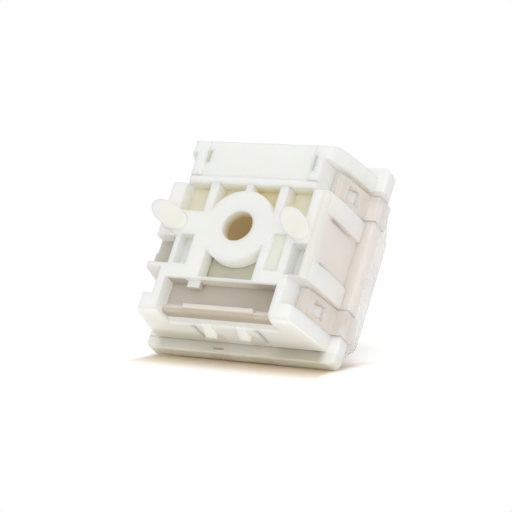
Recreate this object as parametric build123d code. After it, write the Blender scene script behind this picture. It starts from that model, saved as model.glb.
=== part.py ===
from build123d import *
import os

# Contactless keyboard switch, millimetres. +Z is the way the stem stands, -Y is the lamp side.
# The origin is on the stem's axis, in the plane of the board seat.

# Plate and board
plate_cutout = 14.0
plate_thickness = 1.5
cutout_clearance = 0.05
flange_size = 15.6
flange_underside = 5.0
flange_thickness = 1.25
flange_corner_radius = 0.5
flange_edge_radius = 0.15
peg_pitch = 10.16
peg_radius = 0.85
peg_root = 0.5
peg_cut_gap = 0.1
# each peg's length, and the way its slanted end faces away from, in degrees from +X
peg_cuts = {1: (2.4, 13), -1: (1.95, 50)}

# Moulded floor of the lower housing
floor_underside = 1.2
floor_thickness = 0.8
wall = 0.85
seat_edge_radius = 0.25
end_half_length = 6.65
end_draft_height = 0.7

# Round boss in the middle of the floor, with the sensor hole and the tube that the stem's pole enters
boss_radius = 2.8
sensor_hole_radius = 1.2
bore_floor = 0.9
tube_wall = 0.35
tube_top = 5.2
pole_clearance = 0.1

# Widths of the tapered lower body, half sizes at the board and at the flange
north_leg_half_width = 5.75
south_leg_half_width = 6.15
middle_half_width = 6.55
arm_middle_half_width = 6.95
arm_top_half_width = 7.1
leg_top_half_width = 7.0
panel_top_half_width = 6.85
recess_half_width = 5.2
recess_top_half_width = 6.2

# Bow of the legs and arms: each leg's shares of the way out with its shares of the height there
leg_bow = ((0.45, 0.35), (0.8, 0.68))
arm_middle_height = 0.45
arm_top_height = 0.8

# Places along Y
body_half_length = plate_cutout / 2 - cutout_clearance
corner_leg_width = 1.25
arm_inner = 1.85
arm_outer = 3.4
arm_shift = -0.2

# Slits beside the springy arms, with their lift above the floor on each side
slit_width = 0.2
slit_top_gap = 1.0
slit_start_low = 0.9
slit_start_high = 1.5
slit_lift = {1: 0.8, -1: 0.1}

# Sunk field and ridge of the north panel
ridge_low = 3.35
ridge_width = 0.6
ridge_round = 0.28
field_depth = 0.25
field_half_width = 4.45
groove_depth = 0.6
grooves = ((4.2, 4.45, 5.1, 6.1), (-4.7, -4.5, 4.7, 5.9))

# Row of windows between the ribs beside the ridge
rib_width = 0.66
centre_rib_width = 0.5
window_inner = 3.2
window_outer = 5.25
window_low = 1.0
centre_window_low = 0.4

# Pockets beside the boss and the pegs: x low, x high, y low, y high
east_slot = (-6.0, -4.85, -3.5, -1.05)
east_channel = (-4.2, -3.1, -3.3, -0.4)
west_recess = (3.3, 4.4, -3.2, -0.85)
west_side_recess = (4.75, 8.0, -3.25, -1.0)
boss_pit = (-2.45, 1.95, -4.15, -1.0)
west_recess_depth = 0.95
peg_boss = 0.2
rib_tab = (1.95, 2.95, -4.75, -4.25)
rib_tab_drop = 0.6

# Lamp pocket, with the stepped bar along its south side and the sloped sill of the south wall
bar_low = 4.3
lamp_half_width = 4.6
lamp_bar_outer = 6.65
lamp_bar_width = 0.65
lamp_bar_half = 2.85
lamp_bar_height = 0.7
lamp_step_width = 0.4
lamp_step_height = 0.85
sill_height = 1.75
sill_drop = 0.65

# Springy tongues of the end walls, with their catches for the plate
tongue_half_width = 2.45
tongue_slot = 0.35
tongue_root_gap = 0.4
catch_centre = 1.4
catch_width = 0.76
catch_low = 2.1
catch_gap = 0.05
catch_reach = 0.42
catch_lip = 0.3

# Upper housing
lid_overhang = 0.2
lid_skirt = 0.9
lid_top = 11.6
lid_top_half_width = 5.5
lid_top_half_length = 4.75
lid_top_shift = 0.5
lid_wall = 0.8
lid_corner_radius = 0.8
lid_edge_radius = 0.25
lid_gap = 0.02
stem_opening_radius = 0.5
lens_half_width = 3.2
lens_low = 3.5
lens_width = 1.6

# Latch legs of the upper housing
latch_width = 1.9
latch_centres = (4.45, -4.65)
latch_inset = 0.05
latch_thickness = 0.62
latch_bottom = 1.6
latch_lead = 0.25
latch_clearance = 0.08
latch_root = 0.5
latch_window_low = 2.6
latch_window_high = 3.9
latch_bridge = 0.4
notch_clearance = 0.1
nub_clearance = 0.12
nub_reach = 0.52

# Stem
travel = 4.0
stem_top = 15.2
stem_block_width = 7.0
stem_block_length = 5.4
stem_block_stand = 0.2
stem_corner_radius = 0.4
stem_clearance = 0.1
stem_shoulder = 0.6
shoulder_thickness = 1.0
cross_length = 4.05
cross_bar_x = 1.15
cross_bar_y = 1.3
pole_radius = 1.65
pole_bottom_gap = 0.1
rail_width = 1.6
rail_root = 0.1
rail_clearance = 0.12
rail_bottom_gap = 0.3
rail_top_drop = 0.8
guide_thickness = 0.7
guide_depth = 0.5

# Spring and magnet
spring_wire = 0.3
spring_wire_sides = 6
spring_clearance = 0.08
spring_turns = 8
magnet_radius = 1.25
magnet_length = 2.6

# Worked out from the sizes above
cavity_floor = floor_underside + floor_thickness
flange_top = flange_underside + flange_thickness
roof_underside = lid_top - lid_wall
inner_length = body_half_length - wall
shoulder_top = roof_underside - stem_clearance
shoulder_low = shoulder_top - shoulder_thickness
lid_half_width = recess_top_half_width + latch_clearance + latch_thickness + lid_overhang
catch_high = flange_underside - plate_thickness - catch_gap
bore_radius = pole_radius + pole_clearance
tube_radius = bore_radius + tube_wall
spring_radius = tube_radius + spring_clearance + spring_wire / 2
pole_low = bore_floor + pole_bottom_gap + travel
beyond = flange_size


def block(x_low, x_high, y_low, y_high, z_low, z_high):
    """A box between six planes."""
    size = (x_high - x_low, y_high - y_low, z_high - z_low)
    middle = ((x_low + x_high) / 2, (y_low + y_high) / 2, (z_low + z_high) / 2)
    return Pos(*middle) * Box(*size)


def block_beside(side, near, far, y_low, y_high, z_low, z_high):
    """A box on one side of the YZ plane, between two distances from it."""
    x_low, x_high = sorted((side * near, side * far))
    return block(x_low, x_high, y_low, y_high, z_low, z_high)


def prism_along_y(section, y_low, y_high):
    """A section of (x, z) points, carried along Y."""
    outline = Polyline(*[(x, y_low, z) for x, z in section], close=True)
    return extrude(make_face(outline), amount=y_high - y_low, dir=(0, 1, 0))


def prism_along_x(section, x_low, x_high):
    """A section of (y, z) points, carried along X."""
    outline = Polyline(*[(x_low, y, z) for y, z in section], close=True)
    return extrude(make_face(outline), amount=x_high - x_low, dir=(1, 0, 0))


def post(radius, z_low, z_high, x=0, y=0):
    """An upright round post or bore."""
    return Pos(x, y, (z_low + z_high) / 2) * Cylinder(radius, z_high - z_low)


def rounded_bar(half_length, y_low, y_high, z_low, z_high, radius):
    """A bar along X whose two edges towards the board are rounded."""
    bar = block(-half_length, half_length, y_low, y_high, z_low, z_high)
    return fillet(bar.edges().filter_by(Axis.X).group_by(Axis.Z)[0], radius)


def bar_with_round_front(half_length, y_low, y_high, z_low, z_high, radius):
    """A bar along X whose edge towards the board is rounded on its -Y side only."""
    bar = block(-half_length, half_length, y_low, y_high, z_low, z_high)
    front = bar.edges().filter_by(Axis.X).group_by(Axis.Z)[0].sort_by(Axis.Y)[0]
    return fillet(front, radius)


def both_sides(shape):
    """A shape with its mirror image across the YZ plane."""
    return shape + mirror(shape, about=Plane.YZ)


def recess_x(z):
    """Half width of the lower body's side wall at a height."""
    share = z / flange_underside
    return recess_half_width + share * (recess_top_half_width - recess_half_width)


def latch_outer_x(z):
    """Outer face of a latch leg at a height: it follows the side wall behind it."""
    return recess_x(z) + latch_clearance + latch_thickness


def side_leg(half_width_low, y_low, y_high):
    """A tapered leg at a corner of the lower body, bowed outwards on its way to the flange."""
    spread = leg_top_half_width - half_width_low
    bow = [(half_width_low + out * spread, height * flange_underside) for out, height in leg_bow]
    section = [
        (0, 0),
        (half_width_low - seat_edge_radius, 0),
        (half_width_low, seat_edge_radius),
        *bow,
        (leg_top_half_width, flange_underside),
        (0, flange_underside),
    ]
    return prism_along_y(section, y_low, y_high)


def side_arm(y_low, y_high):
    """A springy arm beside the middle panel: its outer face is the widest of the lower body."""
    section = [
        (0, 0),
        (middle_half_width - seat_edge_radius, 0),
        (middle_half_width, seat_edge_radius),
        (arm_middle_half_width, arm_middle_height * flange_underside),
        (arm_top_half_width, arm_top_height * flange_underside),
        (arm_top_half_width, flange_underside),
        (0, flange_underside),
    ]
    return prism_along_y(section, y_low, y_high)


def middle_panel():
    """The panel between the arms, which leans out less than they do."""
    section = [
        (0, 0),
        (middle_half_width - seat_edge_radius, 0),
        (middle_half_width, seat_edge_radius),
        (panel_top_half_width, flange_underside),
        (0, flange_underside),
    ]
    return prism_along_y(section, arm_shift - arm_inner, arm_shift + arm_inner)


def lower_outside():
    """The lower body's outside, solid: tapered core, legs, arms and panels, drafted ends and flange."""
    core = prism_along_y(
        [
            (-recess_half_width, 0),
            (recess_half_width, 0),
            (recess_top_half_width, flange_underside),
            (-recess_top_half_width, flange_underside),
        ],
        -body_half_length,
        body_half_length,
    )
    leg_inner = body_half_length - corner_leg_width
    north_leg = side_leg(north_leg_half_width, leg_inner, body_half_length)
    south_leg = side_leg(south_leg_half_width, -body_half_length, -leg_inner)
    arms = Pos(0, arm_shift, 0) * (side_arm(arm_inner, arm_outer) + side_arm(-arm_outer, -arm_inner))
    body = core + both_sides(north_leg + south_leg + arms + middle_panel())
    drafted = prism_along_x(
        [
            (-end_half_length, 0),
            (end_half_length, 0),
            ((end_half_length + body_half_length) / 2, end_draft_height / 4),
            (body_half_length, end_draft_height),
            (body_half_length, flange_underside),
            (-body_half_length, flange_underside),
            (-body_half_length, end_draft_height),
            (-(end_half_length + body_half_length) / 2, end_draft_height / 4),
        ],
        -beyond,
        beyond,
    )
    flange = extrude(
        Pos(0, 0, flange_underside) * RectangleRounded(flange_size, flange_size, flange_corner_radius),
        amount=flange_thickness,
    )
    rims = flange.edges().group_by(Axis.Z)
    flange = fillet(rims[0] + rims[-1], flange_edge_radius)
    return (body & drafted) + flange


def latch_notches():
    """Cuts in the flange's two sides that let the latch legs through."""
    half_notch = latch_width / 2 + notch_clearance
    cuts = Part()
    for side in (-1, 1):
        for middle in latch_centres:
            low, high = middle - half_notch, middle + half_notch
            cuts += block_beside(side, recess_top_half_width, beyond, low, high, flange_underside, beyond)
    return cuts


def slits():
    """Narrow tapering cuts between the arms and the middle panel."""
    cuts = Part()
    slit_high = flange_underside - slit_top_gap
    for side in (-1, 1):
        slit_low = floor_underside + slit_lift[side]
        section = [
            (side * (recess_half_width + slit_start_low), slit_low),
            (side * beyond, slit_low),
            (side * beyond, slit_high),
            (side * (recess_half_width + slit_start_high), slit_high),
        ]
        for end in (-1, 1):
            low, high = sorted((end * (arm_inner - slit_width), end * arm_inner))
            cuts += prism_along_y(section, arm_shift + low, arm_shift + high)
    return cuts


def window_row():
    """Four pockets between the ribs, two of which the round boss cuts into."""
    cuts = Part()
    centre_window_outer = window_inner - rib_width
    for side in (-1, 1):
        cuts += block_beside(side, window_inner, window_outer, window_low, ridge_low, -1, floor_underside)
        cuts += block_beside(
            side, centre_rib_width / 2, centre_window_outer, centre_window_low, ridge_low, -1, floor_underside
        )
    return cuts


def side_pockets():
    """Pockets beside the pegs and between the boss and the lamp pocket."""
    cuts = block(*east_slot, -1, floor_underside)
    cuts += block(*east_channel, -1, field_depth)
    cuts += block(*west_recess, -1, west_recess_depth)
    cuts += block(*west_side_recess, -1, floor_underside)
    cuts += block(*boss_pit, -1, floor_underside)
    return cuts


def lamp_pocket():
    """The wide pocket for a board lamp, open to the south over a stepped bar and a sloped sill."""
    cuts = block(-lamp_half_width, lamp_half_width, -beyond, -bar_low, -1, floor_underside)
    sill = [
        (-lamp_bar_outer, -1),
        (-lamp_bar_outer, sill_height),
        (-body_half_length, sill_height + sill_drop),
        (-beyond, sill_height + sill_drop),
        (-beyond, -1),
    ]
    cuts += prism_along_x(sill, -lamp_half_width, lamp_half_width)
    for half_length, width, height in (
        (lamp_bar_half, lamp_bar_width, lamp_bar_height),
        (lamp_half_width, lamp_step_width, lamp_step_height),
    ):
        inner = width - lamp_bar_outer
        cuts -= bar_with_round_front(half_length, -lamp_bar_outer, inner, height, sill_height, width / 2)
    return cuts


def core_outs():
    """All the pockets of the underside, which leave the ribs, the round boss and the peg bosses."""
    cuts = window_row() + side_pockets() + lamp_pocket()
    keep = post(boss_radius, 0, floor_underside)
    for side in (-1, 1):
        keep += post(peg_radius + peg_boss, 0, floor_underside, side * peg_pitch / 2)
    keep += block(*rib_tab, rib_tab_drop, floor_underside)
    return cuts - keep


def north_field():
    """The sunk field of the north panel, with two short grooves, open at its outer edge.

    A half-round ridge stands between it and the row of windows.
    """
    field_low = ridge_low + ridge_width
    field = block(-field_half_width, field_half_width, field_low, beyond, -1, field_depth)
    for groove in grooves:
        field += block(*groove, -1, groove_depth)
    ridge = rounded_bar(window_outer, ridge_low, field_low, 0, ridge_width / 2, ridge_round)
    return field + (block(-window_outer, window_outer, ridge_low, field_low, -1, ridge_width / 2) - ridge)


def peg(side):
    """A locating peg, cut at a slant from its tip on one side nearly down to the board face."""
    length, turn = peg_cuts[side]
    middle = side * peg_pitch / 2
    rod = post(peg_radius, -length - 1, peg_root, middle)
    rise = (length - peg_cut_gap) / 2
    slant = [
        (-2 * peg_radius, rise - peg_cut_gap),
        (2 * peg_radius, -length - rise),
        (2 * peg_radius, -length - beyond),
        (-2 * peg_radius, -length - beyond),
    ]
    return rod - Pos(middle, 0, 0) * Rot(0, 0, turn) * prism_along_y(slant, -beyond, beyond)


def tongue_slots():
    """Cuts that free a springy tongue in each end wall."""
    slot_low = cavity_floor + tongue_root_gap
    slot_high = flange_underside - tongue_root_gap
    cuts = Part()
    for end in (-1, 1):
        y_low, y_high = sorted((end * (inner_length - wall), end * beyond))
        for side in (-1, 1):
            outer = tongue_half_width + tongue_slot
            cuts += block_beside(side, tongue_half_width, outer, y_low, y_high, slot_low, slot_high)
    return cuts


def plate_catches():
    """Ramped catches on the tongues, which snap under the plate."""
    catches = Part()
    for end in (-1, 1):
        face = end * body_half_length
        root = end * (body_half_length - wall / 2)
        tip = end * (body_half_length + catch_reach)
        section = [
            (root, catch_low),
            (face, catch_low),
            (tip, catch_high - catch_lip),
            (tip, catch_high),
            (root, catch_high),
        ]
        for side in (-1, 1):
            middle = side * catch_centre
            catches += prism_along_x(section, middle - catch_width / 2, middle + catch_width / 2)
    return catches


def cavity():
    """The hollow of the lower housing above its floor."""
    low_x = recess_x(cavity_floor) - wall
    top_x = recess_x(flange_underside) - wall
    section = [
        (-low_x, cavity_floor),
        (low_x, cavity_floor),
        (top_x, flange_underside),
        (top_x, beyond),
        (-top_x, beyond),
        (-top_x, flange_underside),
    ]
    return prism_along_y(section, -inner_length, inner_length)


def nub(side, middle):
    """A catch that a latch leg's window snaps over."""
    low = latch_window_low + nub_clearance
    high = latch_window_high - nub_clearance
    half = latch_width / 2 - latch_bridge - nub_clearance
    root = wall / 3
    section = [
        (side * (recess_x(low) - root), low),
        (side * recess_x(low), low),
        (side * (recess_x(high) + nub_reach), high - latch_lead),
        (side * (recess_x(high) + nub_reach), high),
        (side * (recess_x(high) - root), high),
    ]
    return prism_along_y(section, middle - half, middle + half)


def rail_guides():
    """Pairs of ribs inside the side walls, which the stem's rails run between."""
    near = rail_width / 2 + rail_clearance
    wall_x = recess_x(cavity_floor) - wall
    guides = Part()
    for side in (-1, 1):
        for end in (-1, 1):
            low, high = sorted((end * near, end * (near + guide_thickness)))
            rib = block_beside(side, wall_x - guide_depth, wall_x, low, high, cavity_floor, flange_underside)
            foot_x = recess_x(flange_underside) - wall
            guides += rib + block_beside(side, wall_x, foot_x, low, high, cavity_floor, flange_underside)
    return guides


def bottom_housing():
    """The lower housing, one moulding."""
    shell = lower_outside()
    for cut in (latch_notches(), slits(), core_outs(), north_field(), cavity(), tongue_slots()):
        shell -= cut
    for addition in (plate_catches(), rail_guides(), post(tube_radius, floor_underside, tube_top)):
        shell += addition
    shell -= post(bore_radius, bore_floor, beyond)
    shell -= post(sensor_hole_radius, -1, beyond)
    for side in (-1, 1):
        shell += peg(side)
        for middle in latch_centres:
            shell += nub(side, middle)
    return shell


def lid_section(z, inset=0.0):
    """A horizontal section of the upper housing's outside at a height, drawn in by an inset."""
    start = flange_top + lid_skirt
    share = max(0.0, (z - start) / (lid_top - start))
    half_x = lid_half_width + share * (lid_top_half_width - lid_half_width) - inset
    half_y = lid_half_width + share * (lid_top_half_length - lid_half_width) - inset
    radius = max(lid_corner_radius - inset, lid_corner_radius / 4)
    return Pos(0, share * lid_top_shift, z) * RectangleRounded(2 * half_x, 2 * half_y, radius)


def lid_solid(inset, top):
    """The upper housing's form: a straight skirt under a tapered hood, steepest at the back."""
    z_seat = flange_top + lid_gap
    z_skirt = flange_top + lid_skirt
    skirt = extrude(lid_section(z_seat, inset), amount=z_skirt - z_seat)
    return skirt + loft([lid_section(z_skirt, inset).face(), lid_section(top, inset).face()])


def latch_leg(side, middle):
    """A latch leg of the upper housing, with the window that holds it on a nub.

    Its shoulder fills a notch of the flange and ends flush with the flange's side.
    """
    z_high = flange_top + latch_root
    inner = recess_x(flange_underside) + latch_clearance
    shoulder_x = flange_size / 2 - latch_inset
    lead_top = latch_bottom + latch_lead
    section = [
        (side * (recess_x(latch_bottom) + latch_clearance), latch_bottom),
        (side * (latch_outer_x(latch_bottom) - latch_lead), latch_bottom),
        (side * latch_outer_x(lead_top), lead_top),
        (side * latch_outer_x(flange_underside), flange_underside),
        (side * shoulder_x, flange_underside),
        (side * shoulder_x, z_high),
        (side * inner, z_high),
        (side * inner, flange_underside),
    ]
    leg = prism_along_y(section, middle - latch_width / 2, middle + latch_width / 2)
    half = latch_width / 2 - latch_bridge
    window = block_beside(side, 0, beyond, middle - half, middle + half, latch_window_low, latch_window_high)
    return leg - window


def top_housing():
    """The upper housing: hood, stem opening, light well and four latch legs."""
    hood = lid_solid(0, lid_top)
    hood = fillet(hood.edges().group_by(Axis.Z)[-1], lid_edge_radius)
    shell = hood - lid_solid(lid_wall, roof_underside)
    opening = RectangleRounded(
        stem_block_width + 2 * stem_clearance,
        stem_block_length + 2 * stem_clearance,
        stem_opening_radius,
    )
    shell -= extrude(Pos(0, 0, roof_underside - lid_wall) * opening, amount=3 * lid_wall)
    lens_outer = -lens_low - lens_width
    shell -= block(-lens_half_width, lens_half_width, lens_outer, -lens_low, flange_top + lid_skirt, beyond)
    for side in (-1, 1):
        for middle in latch_centres:
            shell += latch_leg(side, middle)
    return shell


def stem():
    """The slider: cross mount, block, shoulder, rails and the pole that carries the magnet."""
    block_top = lid_top + stem_block_stand
    body = extrude(
        Pos(0, 0, shoulder_low) * RectangleRounded(stem_block_width, stem_block_length, stem_corner_radius),
        amount=block_top - shoulder_low,
    )
    shoulder_width = stem_block_width + 2 * stem_shoulder
    shoulder_length = stem_block_length + stem_shoulder
    shoulder = extrude(
        Pos(0, 0, shoulder_low) * RectangleRounded(shoulder_width, shoulder_length, stem_corner_radius),
        amount=shoulder_thickness,
    )
    half = cross_length / 2
    cross = block(-half, half, -cross_bar_x / 2, cross_bar_x / 2, block_top, stem_top)
    cross += block(-cross_bar_y / 2, cross_bar_y / 2, -half, half, block_top, stem_top)
    pole = post(pole_radius, pole_low, shoulder_low)
    pole -= post(magnet_radius, pole_low - 1, pole_low + magnet_length)
    rail_outer = recess_x(cavity_floor) - wall - rail_clearance
    rail_inner = stem_block_width / 2 - rail_root
    rail_low = cavity_floor + travel + rail_bottom_gap
    rail_high = shoulder_top - rail_top_drop
    rail = block(rail_inner, rail_outer, -rail_width / 2, rail_width / 2, rail_low, rail_high)
    return body + shoulder + cross + pole + both_sides(rail)


def magnet():
    """The round magnet pressed into the end of the stem's pole."""
    return post(magnet_radius, pole_low, pole_low + magnet_length)


def return_spring():
    """A spring round the tube, from the housing's floor to the underside of the stem's shoulder."""
    low = cavity_floor + spring_wire / 2
    high = shoulder_low - spring_wire / 2
    path = Pos(0, 0, low) * Helix((high - low) / spring_turns, high - low, spring_radius)
    start = Plane(origin=path @ 0, z_dir=path % 0)
    return sweep(start * RegularPolygon(spring_wire / 2, spring_wire_sides), path=path, is_frenet=True)


os.makedirs("parts", exist_ok=True)
for name, solid in {
    "bottom_housing": bottom_housing(),
    "top_housing": top_housing(),
    "stem": stem(),
    "magnet": magnet(),
    "return_spring": return_spring(),
}.items():
    export_step(solid, f"parts/{name}.step")
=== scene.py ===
# %% [markdown]
# # A contactless keyboard switch, seen from below
#
# The frame holds the switch's five moulded and formed pieces at their real size. This lesson gives them
# their looks: milky nylon, clear polycarbonate, brown acetal, nickel and bright wire. The switch lies on
# its side on a white table, and the camera looks at its underside.

import math

import bpy
from mathutils import Matrix, Vector


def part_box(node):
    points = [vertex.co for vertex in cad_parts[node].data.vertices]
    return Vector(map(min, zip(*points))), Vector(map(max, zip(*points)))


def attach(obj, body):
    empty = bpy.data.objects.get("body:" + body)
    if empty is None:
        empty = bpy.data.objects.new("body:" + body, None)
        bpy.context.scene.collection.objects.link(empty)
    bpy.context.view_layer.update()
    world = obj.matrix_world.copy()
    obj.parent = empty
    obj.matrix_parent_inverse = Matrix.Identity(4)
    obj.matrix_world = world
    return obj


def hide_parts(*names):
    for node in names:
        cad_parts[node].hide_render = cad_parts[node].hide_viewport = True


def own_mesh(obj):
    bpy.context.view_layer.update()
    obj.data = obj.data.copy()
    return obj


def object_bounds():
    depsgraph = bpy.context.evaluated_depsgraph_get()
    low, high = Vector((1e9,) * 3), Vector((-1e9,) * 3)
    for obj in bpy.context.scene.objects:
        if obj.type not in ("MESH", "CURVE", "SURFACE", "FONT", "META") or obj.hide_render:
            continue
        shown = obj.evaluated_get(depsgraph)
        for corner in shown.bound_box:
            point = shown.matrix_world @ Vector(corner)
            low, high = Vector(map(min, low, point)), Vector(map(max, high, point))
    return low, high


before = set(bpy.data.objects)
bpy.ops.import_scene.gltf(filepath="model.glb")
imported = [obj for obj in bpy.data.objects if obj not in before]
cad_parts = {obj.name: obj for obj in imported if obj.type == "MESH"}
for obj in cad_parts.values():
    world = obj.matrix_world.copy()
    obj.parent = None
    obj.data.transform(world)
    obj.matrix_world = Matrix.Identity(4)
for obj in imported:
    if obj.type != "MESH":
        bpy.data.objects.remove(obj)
cad_low, cad_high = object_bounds()
print("nodes:", sorted(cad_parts))

# %% [markdown]
# ## Shader maths that reads like Python
#
# Most of a moulded surface's variety comes from small sums: how deep is this point, how near the rim. Each
# sum could be a row of Math nodes placed by hand. Wrapping a socket in a class with overloaded operators
# lets us write the sum as an expression instead, and the nodes add themselves.

# %% A wrapper for sockets
class Wire:
    """A node's output that takes part in Python arithmetic."""

    def __init__(self, nodes, socket):
        self.nodes = nodes
        self.socket = socket

    def math(self, operation, first, second=0.0):
        return self.nodes.node("ShaderNodeMath", {"operation": operation}, {0: first, 1: second})

    def __pow__(self, other):
        return self.math("POWER", self, other)

    def __add__(self, other):
        return self.math("ADD", self, other)

    def __sub__(self, other):
        return self.math("SUBTRACT", self, other)

    def __rsub__(self, other):
        return self.math("SUBTRACT", other, self)

    def __mul__(self, other):
        return self.math("MULTIPLY", self, other)

    def __neg__(self):
        return 0.0 - self

    def __abs__(self):
        return self.math("ABSOLUTE", self)

    def at_least(self, other):
        return self.math("MAXIMUM", self, other)

    __radd__ = __add__
    __rmul__ = __mul__


print("helper:", Wire.__doc__)

# %% [markdown]
# A wire needs something that adds its nodes. This is the tree of a material or of the world. Soft steps
# come back in every finish, so the tree gets a method for a step, and one for a range between two steps.

# %% A tree that nodes are added to
mm_in_a_metre = 1000.0


class Nodes:
    """A node tree, with one method that makes any node and a few for the sums that come back often."""

    def __init__(self, tree):
        self.tree = tree

    def node(self, kind, settings=None, sockets=None, output=0):
        """Adds a node, sets it up, feeds its sockets and returns one output as a Wire."""
        made = self.tree.nodes.new(kind)
        for key, value in (settings or {}).items():
            setattr(made, key, value)
        for key, value in (sockets or {}).items():
            self.feed(made.inputs[key], value)
        return Wire(self, made.outputs[output])

    def feed(self, socket, value):
        if isinstance(value, Wire):
            self.tree.links.new(value.socket, socket)
        else:
            socket.default_value = value

    def between(self, value, low, high):
        """0 below low, 1 above high, and an S-curve from one to the other."""
        sockets = {"Value": value, "From Min": low, "From Max": high}
        return self.node("ShaderNodeMapRange", {"interpolation_type": "SMOOTHSTEP"}, sockets)

    def within(self, value, low, high, blur):
        """1 between two values and 0 outside them, with a soft step at each."""
        return self.between(value, low - blur, low) * (1 - self.between(value, high, high + blur))

    def mix(self, share, colour, other):
        """A blend of two colours."""
        return self.node("ShaderNodeMix", {"data_type": "RGBA"}, {0: share, 6: colour, 7: other}, output=2)

    def place(self):
        """The point's place in the row frame, in millimetres."""
        point = self.node("ShaderNodeTexCoord", output="Object")
        return self.node("ShaderNodeVectorMath", {"operation": "SCALE"}, {0: point, "Scale": mm_in_a_metre})

    def axes(self, point):
        """A place as its three values x, y and z."""
        return [self.node("ShaderNodeSeparateXYZ", None, {0: point}, output=axis) for axis in "XYZ"]

    def noise(self, point, scale, detail=2.0):
        """Soft random variation from 0 to 1."""
        return self.node("ShaderNodeTexNoise", None, {"Vector": point, "Scale": scale, "Detail": detail})


print("helper:", Nodes.__doc__)

# %% [markdown]
# A finish is one material. It starts from the Principled shader, whose sockets cover plastic, metal and
# paper. Real moulded edges are never sharp, so each finish also rounds them in the light: a bevel node
# tilts the normal close to an edge. Rounding the mesh would look the same, for many times the triangles.

# %% A material under construction
edge_samples = 6


class Finish(Nodes):
    """A new material, around its Principled shader."""

    def __init__(self, name, **constants):
        self.material = bpy.data.materials.new(name)
        self.material.use_nodes = True
        super().__init__(self.material.node_tree)
        self.shader = self.tree.nodes["Principled BSDF"]
        for title, value in constants.items():
            self.shader.inputs[title.replace("_", " ")].default_value = value

    def set(self, title, value):
        """Feeds one of the shader's own sockets."""
        self.feed(self.shader.inputs[title], value)

    def soft_edges(self, radius, height, strength, distance):
        """Rounds the edges in the light by a radius, and lays a fine relief over the surface."""
        rounded = self.node("ShaderNodeBevel", {"samples": edge_samples}, {"Radius": radius})
        sockets = {"Height": height, "Strength": strength, "Distance": distance, "Normal": rounded}
        self.set("Normal", self.node("ShaderNodeBump", None, sockets))


def rgb(red, green, blue):
    """A colour given as it looks on screen, 0 to 255, turned into the linear values that shaders take."""
    linear = [((c / 255 + 0.055) / 1.055) ** 2.4 for c in (red, green, blue)]
    return (*linear, 1.0)


black = rgb(0, 0, 0)
white = rgb(255, 255, 255)
print("helper:", Finish.__doc__)
print("white in linear values:", white)

# %% [markdown]
# ## Milky nylon
#
# The bottom housing is one moulding of unfilled nylon. Light enters it, scatters and comes out a little
# further on, so its edges look soft. Subsurface scattering gives this milkiness. A painted gradient could
# only imitate it from one side.

# %% Start the housing's finish
nylon = Finish(
    "milky_nylon",
    IOR=1.5,
    Subsurface_Weight=0.9,
    Subsurface_Scale=0.0012,
    Subsurface_Radius=(1.0, 0.92, 0.75),
    Emission_Strength=1.0,
)
point = nylon.place()
x, y, z = nylon.axes(point)
from_middle = abs(x)
mottled = nylon.noise(point, scale=0.35, detail=3.0)
masks = {}
print("finish:", nylon.material.name)

# %% [markdown]
# ## Where light and shade are painted on the nylon
#
# Where the nylon lies in shade it is painted darker and warmer than the rest: painted shade. We tell the
# finish where that is with masks, which are 1 on a place and 0 elsewhere. Each is a product of soft steps
# along x, y and z, so it needs no picture and stays sharp at any size. A step is given by its start and its
# end, and a range by its two ends and the width of the soft step at both, all in millimetres.
#
# The pockets between the ribs come first: a row of four windows beside the ridge, the pit below the boss
# and a narrow channel, all with painted shade. The east one of the two middle windows gets a warmer painted
# shade than the others.

# %% Mask the pockets
pocket_side = (4.5, 4.58)
window_side = (5.1, 5.3)
window_row = (0.3, 3.4, 0.2)
window_floor = (0.3, 1.1)
warm_column = (-2.3, -0.1, 0.1)
pit_row = (-4.2, -1.0, 0.1)
pit_floor = (1.15, 1.3, 0.1)
channel_column = (-4.15, -3.15, 0.05)
channel_row = (-3.25, -0.45, 0.05)
channel_floor = (0.1, 0.2)

inside = 1 - nylon.between(from_middle, *pocket_side)
windows = nylon.between(z, *window_floor) * nylon.within(y, *window_row)
windows = windows * (1 - nylon.between(from_middle, *window_side))
channel = nylon.within(x, *channel_column) * nylon.within(y, *channel_row)
# Painted shade: the window floors, the warmer east middle window, the pit and the channel are tinted
# darker.
masks["windows"] = windows
masks["warm window"] = windows * nylon.within(x, *warm_column)
masks["pit"] = nylon.within(z, *pit_floor) * nylon.within(y, *pit_row) * inside
masks["channel"] = channel * nylon.between(z, *channel_floor)
print("masks so far:", ", ".join(masks))

# %% [markdown]
# The lamp pocket leaves room for a lamp on the board. Its floor gets a grey-brown painted shade, darker to
# the east. A stepped bar runs along one side of it, with painted shade on its top and a darker tan painted
# shade on its front. A small tab stands on the rib at the other side and keeps the rib's colour.

# %% Mask the lamp pocket
lamp_row = (-5.95, -4.27, 0.04)
lamp_floor = (0.15, 0.4)
lamp_east = (0.0, 3.5)
tab_column = (1.9, 3.0, 0.05)
tab_height = (0.62, 0.7)
bar_row = (-6.7, -5.95, 0.05)
bar_height = (0.6, 1.72, 0.06)
bar_front = (-6.42, -6.3)

tab = nylon.within(x, *tab_column) * (1 - nylon.between(z, *tab_height))
lamp = inside * nylon.between(z, *lamp_floor) * nylon.within(y, *lamp_row) * (1 - tab)
bar = inside * nylon.within(y, *bar_row) * nylon.within(z, *bar_height)
# Painted shade: the lamp pocket's floor, darker at its east end, and the bar with its darker front.
masks["lamp"] = lamp
masks["lamp east"] = lamp * nylon.between(-x, *lamp_east)
masks["bar"] = bar
masks["bar front"] = bar * (1 - nylon.between(y, *bar_front))
print("masks so far:", len(masks))
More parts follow.
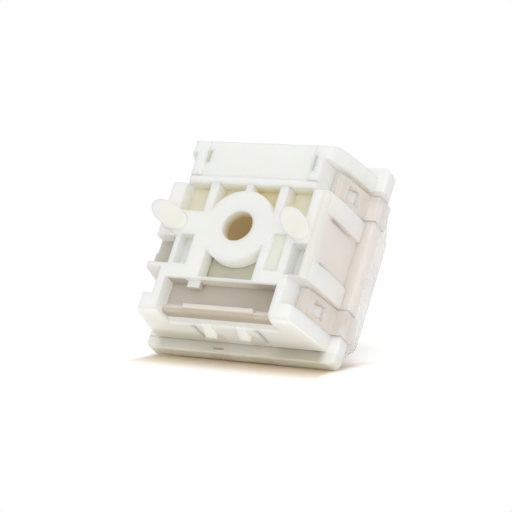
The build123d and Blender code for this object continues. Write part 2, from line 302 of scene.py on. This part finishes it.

# %% [markdown]
# Each side has a thin panel behind two thicker arms, and over them the ledge of the flange. The panel gets
# a warm painted shade, the arms little of it, and the ledge a grey painted shade. The west side also has a
# recess with painted shade, and on the east side the edge near the board gets a grey painted shade. The
# pegs stand free of the housing and get a grey painted shade too.

# %% Mask the sides
side_row = (-5.8, 5.8, 0.1)
panel_side = (5.9, 6.5)
panel_start = (0.3, 0.8)
arm_middle = -0.2
arm_row = (1.87, 3.38, 0.02)
arm_end = (4.9, 5.0)
arm_cover = 0.8
ledge_side = (6.8, 7.0)
ledge_height = (4.95, 5.1, 0.05)
recess_side = (4.7, 4.8)
recess_row = (-3.2, -1.05, 0.05)
recess_height = (0.6, 1.25, 0.3)
edge_column = (-6.5, -6.2, 0.4)
edge_row = (-3.5, 3.1, 0.1)
edge_height = (0.2, 0.6)
peg_start = (0.1, 0.6)

side = nylon.within(y, *side_row)
arms = nylon.within(abs(y - arm_middle), *arm_row) * (1 - nylon.between(z, *arm_end))
panel = nylon.between(from_middle, *panel_side) * nylon.between(z, *panel_start) * side
recess = nylon.between(x, *recess_side) * nylon.within(y, *recess_row)
edge = nylon.within(x, *edge_column) * nylon.within(y, *edge_row)
# Painted shade: the panel, less on the arms, the ledge, the west recess, the east edge and the pegs.
masks["panel"] = panel * (1 - arm_cover * arms)
masks["ledge"] = nylon.within(z, *ledge_height) * nylon.between(from_middle, *ledge_side) * side
masks["recess"] = recess * nylon.within(z, *recess_height)
masks["edge"] = edge * (1 - nylon.between(z, *edge_height))
masks["pegs"] = nylon.between(-z, *peg_start)
print("masks so far:", len(masks))

# %% [markdown]
# The switch rests on the edge of its flange, at the lamp side. The wall there gets painted shade towards
# the flange, less on the slanted legs at both ends. The flange's underside gets painted shade, more to the
# east, and the dark painted shade of a small slot. Clear plastic seems to lie behind two warm patches of
# the wall, and the west part of that wall gets a painted shadow.

# %% Mask the lamp side
wall_front = (6.85, 7.1)
wall_height = (3.1, 4.8)
leg_slope = 0.6
leg_side = (1.7, 2.2)
leg_end = (4.9, 5.05)
leg_cover = 0.7
shade_front = (6.85, 6.95)
shade_start = (4.85, 4.92)
shade_end = (5.05, 5.7)
shade_side = (6.4, 7.2)
shade_east = (2.0, 4.0)
shade_least = 0.5
rim_front = (7.65, 7.8)
rim_cover = 0.6
slot_column = (1.25, 2.1, 0.05)
slot_row = (-7.5, -7.4, 0.04)
patch_columns = ((0.8, 2.3, 0.15), (-2.7, -1.1, 0.15))
patch_start = (3.2, 3.6)
wall_shadow_side = (2.2, 2.8)
wall_shadow_row = (-7.0, -6.85, 0.02)
wall_shadow_height = (3.2, 4.2)

legs = nylon.between(from_middle - leg_slope * z, *leg_side) * (1 - nylon.between(z, *leg_end))
wall = nylon.between(-y, *wall_front) * nylon.between(z, *wall_height)
in_front = nylon.between(-y, *shade_front)
shade = in_front * nylon.between(z, *shade_start) * (1 - nylon.between(z, *shade_end))
shade = shade * (1 - nylon.between(from_middle, *shade_side))
shade = shade * (1 - rim_cover * nylon.between(-y, *rim_front))
patches = nylon.within(x, *patch_columns[0]) + nylon.within(x, *patch_columns[1])
wall_shadow = nylon.between(x, *wall_shadow_side) * nylon.within(y, *wall_shadow_row)
# Painted shade on the lamp side wall and on the flange's underside, with the dark painted shade of a slot.
masks["lamp wall"] = wall * (1 - leg_cover * legs)
masks["shade"] = shade * (shade_least + (1 - shade_least) * nylon.between(-x, *shade_east))
masks["patches"] = patches * in_front * nylon.between(z, *patch_start)
# A painted shadow on the west part of the lamp side wall.
masks["wall_shadow"] = wall_shadow * nylon.between(z, *wall_shadow_height)
masks["slot shade"] = nylon.within(x, *slot_column) * nylon.within(y, *slot_row) * shade
print("masks so far:", len(masks))

# %% [markdown]
# The last place is the tube that guides the stem. Through the sensor hole we see its wall and the end of
# the brown stem. The wall gets the warmest tint: painted shade, warmed by painted brown light from the
# stem.
#
# The tints are then mixed over the nylon's own colour one by one, each with its own share. Where two places
# overlap, the later tint lies on top, so a small place comes after the broad one that it lies in.

# %% Tint the nylon
tube_start = (0.1, 1.2)
tube_edge = (3.2, 3.6)
squared_radius = x * x + y * y
# Painted shade inside the tube, warmed brown as painted light from the stem.
tube = nylon.between(z, *tube_start) * (1 - nylon.between(squared_radius, *tube_edge))
masks["tube"] = tube

mottle_share = 0.5
# Painted shade: every tint below but the patches; the tube's tint also paints the stem's brown light.
tints = {
    "windows": (0.5, rgb(236, 224, 182)),
    "warm window": (0.35, rgb(228, 208, 142)),
    "lamp": (0.85, rgb(192, 181, 167)),
    "bar": (0.8, rgb(222, 212, 198)),
    "bar front": (0.8, rgb(180, 170, 154)),
    "lamp east": (0.4, rgb(164, 151, 133)),
    "pit": (0.85, rgb(198, 193, 170)),
    "panel": (0.6, rgb(236, 224, 216)),
    "ledge": (0.5, rgb(216, 209, 204)),
    "recess": (0.9, rgb(192, 187, 174)),
    "channel": (0.7, rgb(230, 232, 216)),
    "edge": (0.7, rgb(222, 221, 211)),
    "pegs": (0.7, rgb(232, 232, 222)),
    "lamp wall": (0.35, rgb(212, 209, 195)),
    "shade": (0.85, rgb(178, 173, 155)),
    "patches": (0.3, rgb(210, 196, 182)),
    "wall_shadow": (0.5, rgb(196, 193, 177)),
    "slot shade": (0.7, rgb(140, 130, 112)),
    "tube": (1.0, rgb(180, 160, 116)),
}
colour = nylon.mix(mottle_share * mottled, rgb(241, 242, 238), rgb(236, 237, 231))
for place, (share, tint) in tints.items():
    colour = nylon.mix(share * masks[place], colour, tint)
nylon.set("Base Color", colour)
print("tints:", len(tints), "of", len(masks), "masks")

# %% [markdown]
# ## Light that travels inside the nylon
#
# Scattered light travels further in the real part than one short subsurface radius can carry it. It comes
# out of the boss's wall, the wall at the lamp side and the two catches, and it fills the tube with a warm
# light. A faint emission stands for it. A longer radius would blur every pocket as well.

# %% Let the walls glow
boss_radius = 2.8
ring_margin = 0.3
boss_ring = (boss_radius**2 - ring_margin, boss_radius**2 + ring_margin, 0.2)
boss_height = (0.1, 1.1, 0.1)
skin_row = (-6.98, -6.85, 0.02)
skin_height = (3.2, 4.8)
catch_column = (1.02, 1.78, 0.02)
catch_front = (6.97, 7.0)
catch_glow = 1.3
tube_fall = (-0.6, 0.8)

catches = nylon.within(from_middle, *catch_column) * nylon.between(-y, *catch_front)
skin = (nylon.within(y, *skin_row) + catch_glow * catches) * (1 - nylon.between(z, *skin_height))
glowing = nylon.within(z, *boss_height) * nylon.within(squared_radius, *boss_ring) + skin
warm = nylon.mix(nylon.between(-y, *tube_fall), rgb(102, 92, 68), rgb(126, 111, 84))
nylon.set("Emission Color", nylon.mix(glowing, nylon.mix(tube, black, warm), rgb(88, 90, 84)))
print("glow: boss wall, lamp side wall, catches and tube")

# %% [markdown]
# ## The nylon's surface
#
# Moulded nylon has a soft sheen with faint clouds in it, and its edges catch a thin line of light. The
# noise that mottles the colour also makes the sheen uneven, and a finer one gives a slight relief.

# %% Finish the nylon's surface
sheen = 0.36
sheen_spread = 0.14

nylon.set("Roughness", sheen + sheen_spread * mottled)
relief = nylon.noise(point, scale=6.0, detail=3.0)
nylon.soft_edges(radius=0.00012, height=relief, strength=0.12, distance=0.00002)
print("nodes in the nylon:", len(nylon.tree.nodes))

# %% [markdown]
# ## Clear polycarbonate
#
# The upper housing is clear, but a moulded part is never as clean as window glass: it is a little grey, and
# slightly frosted where the tool was textured. Transmission alone would bend the light in every thin wall
# and look dark. So most of the clearness here is alpha, with a little scattering for the body. The hood is
# clearest. Light that runs down inside the latch legs makes their ends bright in the side recesses, so the
# legs get a faint emission.

# %% The lid's clear finish
def clear_polycarbonate():
    finish = Finish(
        "clear_polycarbonate",
        IOR=1.58,
        Transmission_Weight=0.1,
        Subsurface_Weight=0.3,
        Subsurface_Scale=0.0005,
        Emission_Strength=1.0,
    )
    hood_start = (5.2, 6.4)
    leg_end = (4.4, 5.6)
    glow_start = (1.4, 3.4)
    body, hood_clearer, leg_clearer = 0.74, 0.38, 0.2
    gloss, gloss_spread = 0.1, 0.1
    point = finish.place()
    z = finish.axes(point)[2]
    cloudy = finish.noise(point, scale=0.5, detail=2.0)
    hood = finish.between(z, *hood_start)
    leg = 1 - finish.between(z, *leg_end)
    glow = leg * finish.between(z, *glow_start)
    finish.set("Base Color", finish.mix(cloudy, rgb(250, 243, 237), rgb(244, 236, 229)))
    finish.set("Alpha", body - hood_clearer * hood - leg_clearer * leg)
    finish.set("Emission Color", finish.mix(glow, black, rgb(82, 78, 73)))
    finish.set("Roughness", gloss + gloss_spread * cloudy)
    relief = finish.noise(point, scale=4.0)
    finish.soft_edges(radius=0.0001, height=relief, strength=0.05, distance=0.00002)
    return finish.material


polycarbonate = clear_polycarbonate()
print("finish:", polycarbonate.name)

# %% [markdown]
# ## Brown acetal, nickel and bright wire
#
# The stem is a smooth brown moulding. Its magnet is nickel plated, and the spring is drawn steel wire. They
# are small, so faint clouds and a fine relief are enough to keep them from looking flat. A metal is told
# from a plastic by one socket, and the two metals share a function, because they differ only in colour and
# sheen.

# %% The stem's brown finish
sheen_clouds = 0.15


def brown_acetal(sheen):
    finish = Finish("brown_acetal", IOR=1.48, Subsurface_Weight=0.1, Subsurface_Scale=0.0003)
    point = finish.place()
    mottled = finish.noise(point, scale=0.8, detail=3.0)
    finish.set("Base Color", finish.mix(mottled, rgb(122, 92, 52), rgb(104, 76, 42)))
    finish.set("Roughness", sheen + sheen_clouds * mottled)
    relief = finish.noise(point, scale=8.0)
    finish.soft_edges(radius=0.0001, height=relief, strength=0.1, distance=0.00001)
    return finish.material


acetal = brown_acetal(sheen=0.3)
print("finish:", acetal.name)

# %% The metals' finishes
def plated_metal(name, light, dark, sheen):
    finish = Finish(name, Metallic=1.0)
    point = finish.place()
    cloudy = finish.noise(point, scale=2.5, detail=4.0)
    finish.set("Base Color", finish.mix(cloudy, light, dark))
    finish.set("Roughness", sheen + sheen_clouds * cloudy)
    relief = finish.noise(point, scale=20.0)
    finish.soft_edges(radius=0.00003, height=relief, strength=0.08, distance=0.000005)
    return finish.material


nickel = plated_metal("nickel_plating", rgb(214, 210, 202), rgb(188, 184, 176), sheen=0.22)
bright_wire = plated_metal("bright_wire", rgb(206, 205, 203), rgb(170, 169, 168), sheen=0.2)
print("finishes:", nickel.name, bright_wire.name)

# %% [markdown]
# ## Each piece gets its finish
#
# The frame's nodes come with a plain material each. It is taken out before ours goes in, so that every face
# shows the finish.

# %% Give every piece its finish
finishes = {
    "bottom_housing": nylon.material,
    "top_housing": polycarbonate,
    "stem": acetal,
    "magnet": nickel,
    "return_spring": bright_wire,
}
for node, material in finishes.items():
    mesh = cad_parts[node].data
    mesh.materials.clear()
    mesh.materials.append(material)
print("finishes:", len(finishes))

# %% [markdown] ## The return spring The frame's spring is a plain helix, and it doesn't shorten when the
# stem goes down. The piece that is shown is made here: a round wire swept along a helix whose first and
# last turns lie close together, as on a real compression spring. It keeps its length as well.

# %% Measure the spring
spring_low, spring_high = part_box("return_spring")
spring_length = spring_high.z - spring_low.z
wire_radius = 0.00015
coil_radius = (spring_high.x - spring_low.x) / 2 - wire_radius
spring_turns = 10
dead_turns = 1.0
wire_sides = 12
steps_per_turn = 40


def coil_height(turn):
    """Share of the height that the wire has climbed after a number of turns, slow in the dead end turns."""
    closed = 2 * wire_radius / spring_length
    live = (1 - 2 * closed * dead_turns) / (spring_turns - 2 * dead_turns)
    if turn < dead_turns:
        return turn * closed
    if turn > spring_turns - dead_turns:
        return 1 - (spring_turns - turn) * closed
    return dead_turns * closed + (turn - dead_turns) * live


print("spring length in mm:", round(mm_in_a_metre * spring_length, 2))

# %% Wind the spring
def wire_ring(step):
    """The points round the wire at one step along the coil."""
    turn = step / steps_per_turn
    angle = turn * math.tau
    up = Vector((0, 0, 1))
    outward = Vector((math.cos(angle), math.sin(angle), 0))
    climb = wire_radius + (spring_length - 2 * wire_radius) * coil_height(turn)
    middle = coil_radius * outward + (spring_low.z + climb) * up
    around = [side / wire_sides * math.tau for side in range(wire_sides)]
    return [middle + wire_radius * (math.cos(a) * outward + math.sin(a) * up) for a in around]


def wind_spring():
    steps = spring_turns * steps_per_turn
    points = [point for step in range(steps + 1) for point in wire_ring(step)]
    faces = [list(range(wire_sides))[::-1], [len(points) - wire_sides + n for n in range(wire_sides)]]
    for step in range(steps):
        for side in range(wire_sides):
            here = step * wire_sides + side
            beside = step * wire_sides + (side + 1) % wire_sides
            faces.append([here, beside, beside + wire_sides, here + wire_sides])
    mesh = bpy.data.meshes.new("return_spring_wire")
    mesh.from_pydata(points, [], faces)
    mesh.shade_smooth()
    mesh.materials.append(bright_wire)
    piece = bpy.data.objects.new("return_spring_wire", mesh)
    bpy.context.collection.objects.link(piece)
    return piece


spring = wind_spring()
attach(spring, "housing")
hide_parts("return_spring")
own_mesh(spring)
print("spring:", spring_turns, "turns,", len(spring.data.vertices), "points")

# %% [markdown]
# ## The table
#
# The switch rests on one edge of its flange and on the tip of its stem, so the table is tilted in the
# switch's own frame. We find its plane from those two places. Turning the switch instead would take it out
# of the frame that it shares with its CAD model and its motion.

# %% Find the table's plane
housing_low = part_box("bottom_housing")[0]
stem_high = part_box("stem")[1]
flange_top = 0.00625
cross_half_length = 0.002025
flange_edge = Vector((0, housing_low.y, flange_top))
stem_tip = Vector((0, -cross_half_length, stem_high.z))
along = (stem_tip - flange_edge).normalized()
table_up = along.cross(Vector((1, 0, 0)))
print("table faces:", [round(v, 3) for v in table_up])

# %% [markdown]
# The table is white paper under even light, so it should show as pure white, apart from the switch's
# shadow. Its paper gets an emission that only the camera sees, also in a reflection or through something
# clear. Close to the flange that emission is off and the paper is painted a warm tan, a painted shadow over
# the soft shadow that the lamps cast there.
#
# The table is one-sided. Its underside lets the camera look through, because other views look at the switch
# from below the table. It also fades out away from the switch, so no horizon shows.

# %% Finish the table
fade_centre_y = -4.0
fade_centre_z = 9.0
fade_ends = (14.0, 42.0)
shadow_step = (0.2, 6.0)
beside_step = (6.8, 8.3)


def camera_sees(nodes):
    """1 for what the camera sees, directly, in a reflection or through something clear."""
    path = "ShaderNodeLightPath"
    direct = nodes.node(path, output="Is Camera Ray")
    mirrored = nodes.node(path, output="Is Glossy Ray")
    return direct.at_least(mirrored).at_least(nodes.node(path, output="Is Transmission Ray"))


def white_table():
    finish = Finish("white_table", Roughness=0.6, Emission_Strength=0.35)
    point = finish.place()
    x, y, z = finish.axes(point)
    edge = mm_in_a_metre * flange_edge
    from_edge = abs((y - edge.y) * along.y + (z - edge.z) * along.z)
    lit = finish.between(from_edge, *shadow_step).at_least(finish.between(abs(x), *beside_step))
    clouds = finish.noise(point, scale=0.02, detail=2.0)
    paper = finish.mix(clouds, rgb(250, 249, 247), rgb(246, 245, 243))
    # Painted shadow: near the flange the paper's colour is a warm tan.
    finish.set("Base Color", finish.mix(lit, rgb(230, 212, 184), paper))
    finish.set("Emission Color", finish.mix(lit * camera_sees(finish), black, white))
    beyond_y, beyond_z = y - fade_centre_y, z - fade_centre_z
    distance = (x * x + beyond_y * beyond_y + beyond_z * beyond_z) ** 0.5
    below = finish.node("ShaderNodeNewGeometry", output="Backfacing")
    unseen = below.at_least(finish.between(distance, *fade_ends))
    clear = finish.node("ShaderNodeBsdfTransparent")
    opaque = Wire(finish, finish.shader.outputs[0])
    blend = finish.node("ShaderNodeMixShader", None, {0: unseen, 1: opaque, 2: clear})
    finish.feed(finish.tree.nodes["Material Output"].inputs["Surface"], blend)
    return finish.material


paper_finish = white_table()
print("finish:", paper_finish.name)

# %% Lay the table
table_size = 0.5


def lay_table():
    across = Vector((1, 0, 0))
    ahead = table_up.cross(across)
    half = table_size / 2
    corners = [(-half, -half), (half, -half), (half, half), (-half, half)]
    mesh = bpy.data.meshes.new("table")
    mesh.from_pydata([flange_edge + a * across + b * ahead for a, b in corners], [], [(0, 1, 2, 3)])
    mesh.materials.append(paper_finish)
    table = bpy.data.objects.new("table", mesh)
    bpy.context.collection.objects.link(table)
    return table


table = lay_table()
print("table faces up:", table.data.polygons[0].normal.dot(table_up) > 0)

# %% [markdown]
# ## The world
#
# The photograph's background is pure white. A world that is white for every ray would also flood the
# switch with light and wash out its pockets. So it is white for what the camera sees, and dimmer for the
# light that falls on the switch.

# %% Light the world
fill_strength = 0.7


def light_world():
    world = bpy.data.worlds.new("studio")
    world.use_nodes = True
    bpy.context.scene.world = world
    nodes = Nodes(world.node_tree)
    sockets = {"Value": camera_sees(nodes), "To Min": fill_strength, "To Max": 1.0}
    background = world.node_tree.nodes["Background"]
    nodes.feed(background.inputs["Color"], white)
    nodes.feed(background.inputs["Strength"], nodes.node("ShaderNodeMapRange", None, sockets))


light_world()
print("world fill:", fill_strength)

# %% [markdown]
# ## The lamps
#
# The photograph has soft light from all round. A broad lamp near the camera lights the underside, and a
# dimmer one over the table gives the edges their direction. A lamp's size makes its shadows soft, so both
# are large squares.

# %% Hang the lamps
centre = (cad_low + cad_high) / 2
to_camera = Vector((-0.50569, -0.36832, -0.78014)).normalized()
lamp_distance = 0.25
overhead_lean = 0.15
front_lean = 0.2


def hang_lamp(name, direction, size, power):
    lamp = bpy.data.lights.new(name, "AREA")
    lamp.shape = "SQUARE"
    lamp.size = size
    lamp.energy = power
    holder = bpy.data.objects.new(name, lamp)
    bpy.context.collection.objects.link(holder)
    holder.location = centre + lamp_distance * direction.normalized()
    holder.rotation_mode = "QUATERNION"
    holder.rotation_quaternion = (-direction).to_track_quat("-Z", "Y")
    print("lamp:", name, power, "W")


hang_lamp("overhead", table_up + overhead_lean * to_camera, size=0.16, power=0.07)
hang_lamp("front", to_camera + front_lean * table_up, size=0.2, power=0.19)

# %% [markdown]
# ## The camera
#
# The camera is a long lens, so near and far pieces show at nearly the same size. Its place was found by
# fitting the pegs' pitch and the flange's corners to the photograph. It is given by the point that it aims
# at, its direction and distance, and the direction that points right in the picture. Three angles could
# say the same, but directions in the switch's own frame are easier to check.

# %% Set up the camera
sensor = 36.0
focal_pixels = 2400.0
picture_pixels = 512.0
aim = Vector((-0.0012647, -0.0015488, 0.001551))
camera_distance = 0.1698255
picture_right = Vector((-0.86066, 0.27776, 0.42675))


def place_camera():
    data = bpy.data.cameras.new("camera")
    data.sensor_width = sensor
    data.lens = sensor * focal_pixels / picture_pixels
    data.clip_start = 0.005
    data.clip_end = 5.0
    camera = bpy.data.objects.new("camera", data)
    bpy.context.collection.objects.link(camera)
    right = (picture_right - picture_right.dot(to_camera) * to_camera).normalized()
    up = to_camera.cross(right)
    turn = Matrix((right, up, to_camera)).transposed().to_4x4()
    camera.matrix_world = Matrix.Translation(aim + camera_distance * to_camera) @ turn
    bpy.context.scene.camera = camera
    return camera


camera = place_camera()
bpy.context.scene.view_settings.view_transform = "Standard"
print("lens in mm:", camera.data.lens)

# %% [markdown]
# ## The outline
#
# The finishes and the wound spring leave the switch's outline as it is.
